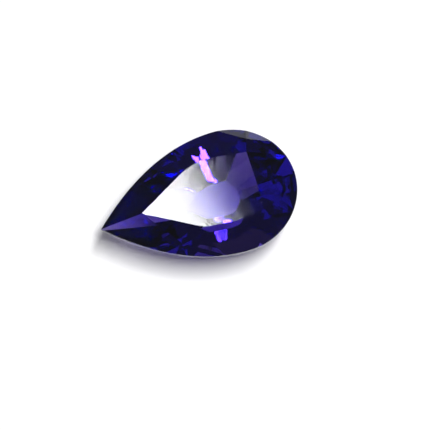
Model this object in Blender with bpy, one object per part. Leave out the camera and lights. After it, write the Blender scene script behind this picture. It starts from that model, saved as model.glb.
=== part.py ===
"""A pear-cut tanzanite, loose and unmounted, standing table up on its small flat culet.

X runs from the point of the pear to its round head, Y across and Z up. The origin is on the
surface that the stone stands on, under the middle of its length. All sizes are in
millimetres, and the finished stone is scaled to metres.

The stone is cut as a lapidary cuts it. A pear-shaped blank, as tall as the stone, has the
table on top and the culet below. The main facets of crown and pavilion are sliced off it
first, then the stars beside the table and the small facets that meet the girdle. Each plane
is worked out from the corners that the facets before it leave.
"""

import math

import bmesh
import bpy
from mathutils import Vector
from mathutils.geometry import intersect_line_plane, intersect_plane_plane

MM = 0.001

# Outline of the girdle: a round head, and two curved wings that meet in a point
LENGTH = 8.0
WIDTH = 5.04
HEAD_LENGTH = 2.66
SIDES_PER_FACET = 5

# Heights above the surface that the stone stands on
GIRDLE_LOW = 1.82
GIRDLE_HIGH = 2.02
TABLE_HEIGHT = 2.62

# The pavilion mains would meet in a point this far below the culet, at this station along X
APEX_DEPTH = 0.70
APEX_X = 0.80

# Corners of the table, as distances along X and from X. The belly corner sits nearer the
# head on one side of the stone than on the other.
TABLE_POINT_X = -2.32
TABLE_WING = (-0.12, 1.23)
TABLE_BELLY = {-1: (1.12, 1.37), 1: (0.55, 1.40)}
TABLE_SHOULDER = (2.36, 1.20)
TABLE_HEAD_X = 2.38

# Where the main facets of each side meet the girdle: -1 is the point of the pear, 0 its
# widest station and 1 the end of its head
MAINS = {-1: (-0.74, -0.17, 0.085, 0.61, 1.0), 1: (-0.74, -0.30, 0.050, 0.61, 1.0)}

# How far each star reaches out to the girdle, along the edge between two main facets
STAR_REACH = (0.42, 0.26, 0.45, 0.49)
# How far the lower girdle facets reach down to the apex of the pavilion
LOWER_REACH = 0.62

COLOUR = (0.050, 0.025, 0.450, 1.0)
ROUGHNESS = 0.05
REFRACTION = 1.69

WIDEST_X = LENGTH / 2 - HEAD_LENGTH
WING_LENGTH = LENGTH - HEAD_LENGTH
UP = Vector((0, 0, 1))
HEART = Vector((APEX_X, 0, GIRDLE_LOW))
SNAP = 1e-4


def girdle_point(share, side, height):
    """The girdle at a share of the way from the widest station to the point or the head."""
    if share < 0:
        x = WIDEST_X + WING_LENGTH * share
        half = WIDTH / 2 * (1 - share**2)
    else:
        x = WIDEST_X + HEAD_LENGTH * math.sin(share * math.pi / 2)
        half = WIDTH / 2 * math.cos(share * math.pi / 2)
    return Vector((x, side * half, height))


def girdle_direction(share, side):
    """The direction in which the girdle runs there, towards the head."""
    if share < 0:
        return Vector((WING_LENGTH, -side * WIDTH * share, 0)).normalized()
    turn = share * math.pi / 2
    return Vector((HEAD_LENGTH * math.cos(turn), -side * WIDTH / 2 * math.sin(turn), 0)).normalized()


def between(first, last):
    """The share halfway between two mains, where the small girdle facets part."""
    return (first + last) / 2


def facet(first, second, third):
    """The plane through three points, as a point and a normal that faces away from the stone."""
    normal = (second - first).cross(third - first).normalized()
    if normal.dot(first - HEART) < 0:
        normal.negate()
    return first, normal


def meeting(first, second, height):
    """Where the edge between two facets passes through a height."""
    start, direction = intersect_plane_plane(*first, *second)
    return intersect_line_plane(start, start + direction, UP * height, UP)


def table_corners(side):
    """The corners of the table on one side, from the point of the pear to its head."""
    outer = (TABLE_WING, TABLE_BELLY[side], TABLE_SHOULDER)
    corners = [Vector((x, side * y, TABLE_HEIGHT)) for x, y in outer]
    return [
        Vector((TABLE_POINT_X, 0, TABLE_HEIGHT)),
        *corners,
        Vector((TABLE_HEAD_X, 0, TABLE_HEIGHT)),
    ]


def main_facets(inner, side, height):
    """The mains of one side, each from an inner corner out to where it touches the girdle."""
    tip = girdle_point(-1, side, height)
    stations = MAINS[side]
    planes = [facet(inner[0], tip, girdle_point(stations[0], side, height))]
    for corner, share in zip(inner[1:], stations[1:]):
        touch = girdle_point(share, side, height)
        planes.append(facet(corner, touch, touch + girdle_direction(share, side)))
    return planes


def girdle_facets(corner, index, side, height):
    """The two facets from one corner out to the girdle between a main and the next."""
    first, last = MAINS[side][index : index + 2]
    stops = [girdle_point(share, side, height) for share in (first, between(first, last), last)]
    return [facet(corner, *stops[:2]), facet(corner, *stops[1:])]


def crown(side):
    """Every crown facet of one side: the mains, then the stars and the upper girdle facets."""
    corners = table_corners(side)
    mains = main_facets(corners, side, GIRDLE_HIGH)
    planes = list(mains)
    for index, reach in enumerate(STAR_REACH):
        pair = mains[index : index + 2]
        top, foot = (meeting(*pair, height) for height in (TABLE_HEIGHT, GIRDLE_HIGH))
        tip = top.lerp(foot, reach)
        planes.append(facet(corners[index], corners[index + 1], tip))
        planes += girdle_facets(tip, index, side, GIRDLE_HIGH)
    return planes


def pavilion(side):
    """Every pavilion facet of one side: the mains, then the lower girdle facets."""
    apex = Vector((APEX_X, 0, -APEX_DEPTH))
    mains = main_facets([apex] * len(MAINS[side]), side, GIRDLE_LOW)
    planes = list(mains)
    for index, pair in enumerate(zip(mains, mains[1:])):
        outer = meeting(*pair, GIRDLE_LOW)
        planes += girdle_facets(outer.lerp(apex, LOWER_REACH), index, side, GIRDLE_LOW)
    return planes


def outline(side):
    """Corners of the girdle from point to head, with one at each place where facets meet it."""
    stops = [-1.0, MAINS[side][0]]
    for first, last in zip(MAINS[side], MAINS[side][1:]):
        stops += [between(first, last), last]
    corners = [girdle_point(stops[0], side, 0)]
    for first, last in zip(stops, stops[1:]):
        for number in range(SIDES_PER_FACET):
            share = first + (last - first) * (number + 1) / SIDES_PER_FACET
            corners.append(girdle_point(share, side, 0))
    return corners


def pear_blank():
    """The upright pear-shaped prism that the stone is cut from."""
    stone = bmesh.new()
    corners = outline(-1) + outline(1)[-2:0:-1]
    base = stone.faces.new([stone.verts.new(corner) for corner in corners])
    raised = bmesh.ops.extrude_face_region(stone, geom=[base])["geom"]
    top = [piece for piece in raised if isinstance(piece, bmesh.types.BMVert)]
    bmesh.ops.translate(stone, verts=top, vec=UP * TABLE_HEIGHT)
    bmesh.ops.recalc_face_normals(stone, faces=stone.faces)
    return stone


def slice_off(stone, point, normal):
    """Removes what lies outside a plane and closes the cut with one flat facet."""
    everything = stone.verts[:] + stone.edges[:] + stone.faces[:]
    cut = bmesh.ops.bisect_plane(
        stone, geom=everything, dist=SNAP, plane_co=point, plane_no=normal, clear_outer=True
    )
    edges = [piece for piece in cut["geom_cut"] if isinstance(piece, bmesh.types.BMEdge)]
    rim = [edge for edge in edges if edge.is_boundary]
    if rim:
        bmesh.ops.edgeloop_fill(stone, edges=rim)


def cut_stone():
    """The finished stone as a mesh in metres."""
    stone = pear_blank()
    for side in MAINS:
        for point, normal in crown(side) + pavilion(side):
            slice_off(stone, point, normal)
    bmesh.ops.remove_doubles(stone, verts=stone.verts, dist=SNAP)
    bmesh.ops.recalc_face_normals(stone, faces=stone.faces)
    bmesh.ops.scale(stone, verts=stone.verts, vec=(MM, MM, MM))
    mesh = bpy.data.meshes.new("tanzanite")
    stone.to_mesh(mesh)
    stone.free()
    return mesh


def violet_crystal():
    """Clear blue-violet crystal with a glassy polish."""
    material = bpy.data.materials.new("violet_crystal")
    material.use_nodes = True
    shader = material.node_tree.nodes["Principled BSDF"]
    shader.inputs["Base Color"].default_value = COLOUR
    shader.inputs["Roughness"].default_value = ROUGHNESS
    shader.inputs["Metallic"].default_value = 0.0
    shader.inputs["IOR"].default_value = REFRACTION
    shader.inputs["Transmission Weight"].default_value = 1.0
    material.diffuse_color = COLOUR
    return material


def main():
    """Clears the scene and puts the stone in it."""
    for leftover in list(bpy.data.objects):
        bpy.data.objects.remove(leftover)
    tanzanite = bpy.data.objects.new("tanzanite", cut_stone())
    tanzanite.data.materials.append(violet_crystal())
    bpy.context.scene.collection.objects.link(tanzanite)


main()
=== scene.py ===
"""Finishes a loose pear-cut tanzanite and lights it on a plain pale floor.

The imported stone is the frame. Its facet planes are read from the frame, and a block of crystal
is cut to them one by one, as on a lap. Sizes are in millimetres until a piece is finished, and
in metres after that.
"""

import logging
import math
from dataclasses import dataclass, field
from enum import Enum

import bpy
from mathutils import Matrix, Vector


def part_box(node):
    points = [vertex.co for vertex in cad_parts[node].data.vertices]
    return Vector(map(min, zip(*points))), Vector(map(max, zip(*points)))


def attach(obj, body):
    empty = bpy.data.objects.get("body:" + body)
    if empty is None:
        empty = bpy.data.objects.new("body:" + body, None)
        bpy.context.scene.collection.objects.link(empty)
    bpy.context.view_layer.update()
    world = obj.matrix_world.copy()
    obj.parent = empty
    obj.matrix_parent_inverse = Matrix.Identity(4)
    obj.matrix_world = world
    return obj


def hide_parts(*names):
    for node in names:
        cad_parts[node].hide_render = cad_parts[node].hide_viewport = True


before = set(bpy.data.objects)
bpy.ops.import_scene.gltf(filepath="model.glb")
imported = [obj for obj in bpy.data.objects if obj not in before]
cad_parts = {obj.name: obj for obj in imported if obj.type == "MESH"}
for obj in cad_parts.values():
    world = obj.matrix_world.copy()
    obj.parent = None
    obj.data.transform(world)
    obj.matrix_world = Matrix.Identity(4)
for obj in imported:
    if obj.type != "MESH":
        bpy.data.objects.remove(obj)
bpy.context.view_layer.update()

MM = 0.001
NODE = "tanzanite"
BODY = "root"

log = logging.getLogger("stone")


class Sum(Enum):
    """What a math node does with its two values."""

    IS_ABOVE = "GREATER_THAN"
    TIMES = "MULTIPLY"


class Bench:
    """The modelling bench: the few bpy.ops habits that the pieces need."""

    @staticmethod
    def clear() -> None:
        """Leaves edit mode and deselects everything."""
        if bpy.context.object and bpy.context.object.mode != "OBJECT":
            bpy.ops.object.mode_set(mode="OBJECT")
        bpy.ops.object.select_all(action="DESELECT")

    @staticmethod
    def hold(piece: bpy.types.Object) -> None:
        """Makes a piece the only selected and the active one.

        Args:
            piece: The object to work on.
        """
        Bench.clear()
        piece.select_set(True)
        bpy.context.view_layer.objects.active = piece

    @staticmethod
    def edit(piece: bpy.types.Object) -> None:
        """Opens a piece in edit mode, picking faces, with nothing selected.

        Args:
            piece: The object to edit.
        """
        Bench.hold(piece)
        bpy.ops.object.mode_set(mode="EDIT")
        bpy.ops.mesh.select_mode(type="FACE")
        bpy.ops.mesh.select_all(action="DESELECT")

    @staticmethod
    def finish(piece: bpy.types.Object, name: str) -> None:
        """Names a piece and turns its millimetres into metres, with its place in its mesh.

        Args:
            piece: The object to finish.
            name: The name of the piece.
        """
        Bench.hold(piece)
        bpy.ops.object.transform_apply(location=True, rotation=True, scale=True)
        piece.scale = (MM, MM, MM)
        bpy.ops.object.transform_apply(location=False, rotation=False, scale=True)
        piece.name = name
        piece.data.name = name


class Shader:
    """A material whose nodes are being wired."""

    def __init__(self, name: str) -> None:
        """Starts a material with a Principled BSDF.

        Args:
            name: The name of the material.
        """
        self.material = bpy.data.materials.new(name)
        self.material.use_nodes = True
        self.tree = self.material.node_tree
        self.bsdf = self.tree.nodes["Principled BSDF"]
        self.output = self.tree.nodes["Material Output"]

    def node(self, kind: str, **values: object) -> bpy.types.Node:
        """Adds a node and sets its properties and sockets.

        Args:
            kind: The node's type, without its ShaderNode prefix.
            values: Properties by name, and sockets by name with _ for a space.

        Returns:
            The new node.
        """
        made = self.tree.nodes.new("ShaderNode" + kind)
        for key, value in values.items():
            if hasattr(made, key):
                setattr(made, key, value)
            else:
                made.inputs[key.replace("_", " ")].default_value = value
        return made

    def link(self, source: bpy.types.NodeSocket, target: bpy.types.NodeSocket) -> None:
        """Joins two sockets."""
        self.tree.links.new(source, target)

    def math(self, what: Sum, first: object, second: object) -> bpy.types.NodeSocket:
        """Adds a math node.

        Args:
            what: What it does.
            first: A socket or a number.
            second: A socket or a number.

        Returns:
            The result's socket.
        """
        made = self.node("Math", operation=what.value)
        for index, value in enumerate((first, second)):
            if isinstance(value, bpy.types.NodeSocket):
                self.link(value, made.inputs[index])
            else:
                made.inputs[index].default_value = value
        return made.outputs[0]


@dataclass(frozen=True)
class CrystalFinish:
    """Clear blue-violet crystal: refraction, absorption, a fine polish and an uneven table.

    The absorption is in shares per metre for red, green and blue. The relief's scale is in
    grains per metre and its depth in metres.
    """

    name: str = "violet_crystal"
    refraction: float = 1.69
    tint: tuple[float, float, float] = (1.0, 1.0, 1.0)
    absorbed: tuple[float, float, float] = (600.0, 750.0, 190.0)
    polish: float = 0.02
    level_enough: float = 0.9995
    relief_scale: float = 13000.0
    relief_detail: float = 2.0
    relief_roughness: float = 0.6
    relief_depth: float = 1.2e-6

    def material(self) -> bpy.types.Material:
        """Builds the material.

        Returns:
            The crystal's material.
        """
        shader = Shader(self.name)
        bsdf = shader.bsdf
        bsdf.inputs["Base Color"].default_value = (*self.tint, 1.0)
        bsdf.inputs["Roughness"].default_value = self.polish
        bsdf.inputs["IOR"].default_value = self.refraction
        bsdf.inputs["Transmission Weight"].default_value = 1.0
        self.wire_absorption(shader)
        self.wire_relief(shader)
        return shader.material

    def wire_absorption(self, shader: Shader) -> None:
        """Colours the light by the length of its way through the crystal.

        Args:
            shader: The material being wired.
        """
        density = max(self.absorbed)
        colour = [1.0 - share / density for share in self.absorbed]
        absorption = shader.node("VolumeAbsorption")
        absorption.inputs["Color"].default_value = (*colour, 1.0)
        absorption.inputs["Density"].default_value = density
        shader.link(absorption.outputs[0], shader.output.inputs["Volume"])

    def wire_relief(self, shader: Shader) -> None:
        """Makes the table finely uneven, and only the table.

        Args:
            shader: The material being wired.
        """
        place = shader.node("TexCoord").outputs["Object"]
        facing = shader.node("SeparateXYZ")
        shader.link(shader.node("NewGeometry").outputs["Normal"], facing.inputs[0])
        table = shader.math(Sum.IS_ABOVE, facing.outputs["Z"], self.level_enough)
        grain = shader.node(
            "TexNoise", Scale=self.relief_scale, Detail=self.relief_detail, Roughness=self.relief_roughness
        )
        shader.link(place, grain.inputs["Vector"])
        height = shader.math(Sum.TIMES, grain.outputs["Fac"], table)
        bump = shader.node("Bump", Strength=1.0, Distance=self.relief_depth)
        shader.link(height, bump.inputs["Height"])
        shader.link(bump.outputs["Normal"], shader.bsdf.inputs["Normal"])


@dataclass(frozen=True)
class FloorFinish:
    """Plain pale paper."""

    name: str = "pale_floor"
    grey: float = 0.9
    roughness: float = 0.8

    def material(self) -> bpy.types.Material:
        """Builds the material.

        Returns:
            The floor's material.
        """
        shader = Shader(self.name)
        shader.bsdf.inputs["Base Color"].default_value = (self.grey, self.grey, self.grey, 1.0)
        shader.bsdf.inputs["Roughness"].default_value = self.roughness
        return shader.material


@dataclass
class FacetedStone:
    """The crystal itself, cut from a block along the frame's facet planes."""

    finish: CrystalFinish = field(default_factory=CrystalFinish)
    margin: float = 0.5
    flatness: float = 0.002
    snap: float = 1e-4

    def is_new(self, point: Vector, normal: Vector, known: list[tuple[Vector, Vector]]) -> bool:
        """Whether a plane is none of those found so far.

        Args:
            point: A point on the plane.
            normal: The plane's normal.
            known: The planes found so far, each a point and a normal.

        Returns:
            True where every known plane is turned or set off from it.
        """
        return all(
            (normal - facing).length > self.flatness or abs((point - seat).dot(facing)) > self.flatness
            for seat, facing in known
        )

    def planes(self) -> list[tuple[Vector, Vector]]:
        """The frame's facet planes, the largest first.

        Returns:
            A point in millimetres and an outward normal for each flat facet.
        """
        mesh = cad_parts[NODE].data
        found: list[tuple[Vector, Vector]] = []
        for face in sorted(mesh.polygons, key=lambda face: -face.area):
            normal = face.normal.copy()
            point = face.center / MM
            if self.is_new(point, normal, found):
                found.append((point, normal))
        return found

    def cut(self) -> bpy.types.Object:
        """Cuts a block of crystal along every plane.

        Returns:
            The faceted stone, in millimetres.
        """
        low, high = (Vector(corner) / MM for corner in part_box(NODE))
        Bench.clear()
        bpy.ops.mesh.primitive_cube_add(size=1.0, location=(low + high) / 2)
        stone = bpy.context.object
        stone.scale = (high - low) + Vector((self.margin,) * 3)
        bpy.ops.object.transform_apply(location=True, rotation=True, scale=True)
        Bench.edit(stone)
        for point, normal in self.planes():
            bpy.ops.mesh.select_all(action="SELECT")
            bpy.ops.mesh.bisect(
                plane_co=point, plane_no=normal, use_fill=True, clear_outer=True, threshold=self.snap
            )
        bpy.ops.mesh.select_all(action="SELECT")
        bpy.ops.mesh.remove_doubles(threshold=self.snap)
        bpy.ops.mesh.normals_make_consistent(inside=False)
        bpy.ops.object.mode_set(mode="OBJECT")
        return stone

    def build(self) -> bpy.types.Object:
        """Makes the whole crystal.

        Returns:
            The finished crystal, riding on its body.
        """
        stone = self.cut()
        Bench.finish(stone, "crystal_body")
        stone.data.materials.clear()
        stone.data.materials.append(self.finish.material())
        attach(stone, BODY)
        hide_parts(NODE)
        return stone


@dataclass
class Studio:
    """Floor, lights, world and camera. Lengths are in millimetres and angles in degrees."""

    azimuth: float = -16.954
    elevation: float = 76.0
    distance: float = 120.0
    aim: tuple[float, float, float] = (0.0, 0.0, 1.12)
    lens: float = 252.16
    sensor_width: float = 36.0
    shift: tuple[float, float] = (0.0394, -0.0208)
    seen_from_to: tuple[float, float] = (1.0, 50000.0)
    table_height: float = 2.62
    floor_finish: FloorFinish = field(default_factory=FloorFinish)
    floor_side: float = 6000.0
    floor_level: float = -0.01
    world_light: float = 0.09
    key_direction: tuple[float, float, float] = (0.211, -0.0215, 1.0)
    key_aim: tuple[float, float, float] = (0.0, 0.0, 1.5)
    key_distance: float = 200.0
    key_size: tuple[float, float] = (100.0, 24.0)
    key_radiance: float = 60.0
    glare_far_end: tuple[float, float] = (-0.08, 1.23)
    glare_near_end: tuple[float, float] = (0.31, -1.29)
    glare_height: float = 150.0
    glare_size: tuple[float, float] = (9.0, 12.0)
    glare_radiance: float = 18.0
    bounces: int = 24
    glossy_bounces: int = 16
    brightest_indirect: float = 60.0

    def eye(self) -> Vector:
        """The camera's place in millimetres."""
        turn, lift = math.radians(self.azimuth), math.radians(self.elevation)
        back = Vector((
            math.sin(turn) * math.cos(lift), -math.cos(turn) * math.cos(lift), math.sin(lift)
        ))
        return Vector(self.aim) + back * self.distance

    def camera(self) -> None:
        """Places the camera at the photograph's angle."""
        data = bpy.data.cameras.new("camera")
        data.lens = self.lens
        data.sensor_width = self.sensor_width
        data.shift_x, data.shift_y = self.shift
        data.clip_start, data.clip_end = (reach * MM for reach in self.seen_from_to)
        camera = bpy.data.objects.new("camera", data)
        eye = self.eye()
        camera.location = eye * MM
        camera.rotation_euler = (Vector(self.aim) - eye).to_track_quat("-Z", "Y").to_euler()
        bpy.context.scene.collection.objects.link(camera)
        bpy.context.scene.camera = camera

    def mirrored(self, x: float, y: float, height: float) -> Vector:
        """Where the camera sees the studio in the table, as in a mirror.

        Args:
            x: Place on the table, in millimetres.
            y: Place on the table, in millimetres.
            height: The height at which the reflected line of sight is met.

        Returns:
            The point at that height, in millimetres.
        """
        eye = self.eye()
        eye.z = 2 * self.table_height - eye.z
        spot = Vector((x, y, self.table_height))
        return eye + (spot - eye) * ((height - eye.z) / (self.table_height - eye.z))

    def panel(
        self, name: str, centre: Vector, aim: Vector, size: tuple[float, float], radiance: float, turn: float
    ) -> None:
        """Adds a flat soft light.

        Args:
            name: Its name.
            centre: Its place, in millimetres.
            aim: What it faces, in millimetres.
            size: Its two sides, in millimetres.
            radiance: How bright its face is.
            turn: How far it is turned in its own plane, in radians.
        """
        data = bpy.data.lights.new(name, "AREA")
        data.shape = "RECTANGLE"
        data.size, data.size_y = (side * MM for side in size)
        data.energy = radiance * math.pi * data.size * data.size_y
        light = bpy.data.objects.new(name, data)
        light.location = centre * MM
        facing = (aim - centre).to_track_quat("-Z", "Y").to_matrix()
        light.rotation_euler = (facing @ Matrix.Rotation(turn, 3, "Z")).to_euler()
        bpy.context.scene.collection.objects.link(light)

    def key_light(self) -> None:
        """Hangs the long soft light that throws the shadow."""
        centre = Vector(self.key_direction).normalized() * self.key_distance
        turn = math.radians(self.azimuth)
        self.panel("key_light", centre, Vector(self.key_aim), self.key_size, self.key_radiance, turn)

    def glare_panel(self) -> None:
        """Hangs the panel that the table mirrors, with one side over the end of the glare."""
        far, near = Vector(self.glare_far_end), Vector(self.glare_near_end)
        lean = math.atan2(near.x - far.x, far.y - near.y)
        across = Vector((math.cos(lean), math.sin(lean), 0.0))
        side = (self.mirrored(*far, self.glare_height) + self.mirrored(*near, self.glare_height)) / 2
        centre = side - across * self.glare_size[0] / 2
        below = centre - Vector((0, 0, self.glare_height))
        self.panel("glare_panel", centre, below, self.glare_size, self.glare_radiance, lean)

    def floor(self) -> None:
        """Lays the pale floor under the stone."""
        Bench.clear()
        bpy.ops.mesh.primitive_plane_add(
            size=self.floor_side * MM, location=(0, 0, self.floor_level * MM)
        )
        floor = bpy.context.object
        floor.name = "floor"
        floor.data.materials.append(self.floor_finish.material())

    def surroundings(self) -> None:
        """Sets the even light all round."""
        world = bpy.data.worlds.new("surroundings")
        world.use_nodes = True
        back = world.node_tree.nodes["Background"]
        back.inputs["Color"].default_value = (1.0, 1.0, 1.0, 1.0)
        back.inputs["Strength"].default_value = self.world_light
        bpy.context.scene.world = world

    def look(self) -> None:
        """Sets how the picture is developed."""
        scene = bpy.context.scene
        scene.view_settings.view_transform = "Standard"
        scene.cycles.max_bounces = self.bounces
        scene.cycles.transmission_bounces = self.bounces
        scene.cycles.glossy_bounces = self.glossy_bounces
        scene.cycles.transparent_max_bounces = self.bounces
        scene.cycles.sample_clamp_indirect = self.brightest_indirect
        scene.cycles.use_denoising = True

    def build(self) -> None:
        """Sets the whole studio up."""
        self.floor()
        self.surroundings()
        self.key_light()
        self.glare_panel()
        self.camera()
        self.look()


def main() -> None:
    """Builds the stone and the studio in order and reports each piece."""
    logging.basicConfig(level=logging.INFO, format="%(message)s")
    stone = FacetedStone().build()
    log.info("%s: %d faces", stone.name, len(stone.data.polygons))
    Studio().build()


if __name__ == "__main__":
    main()
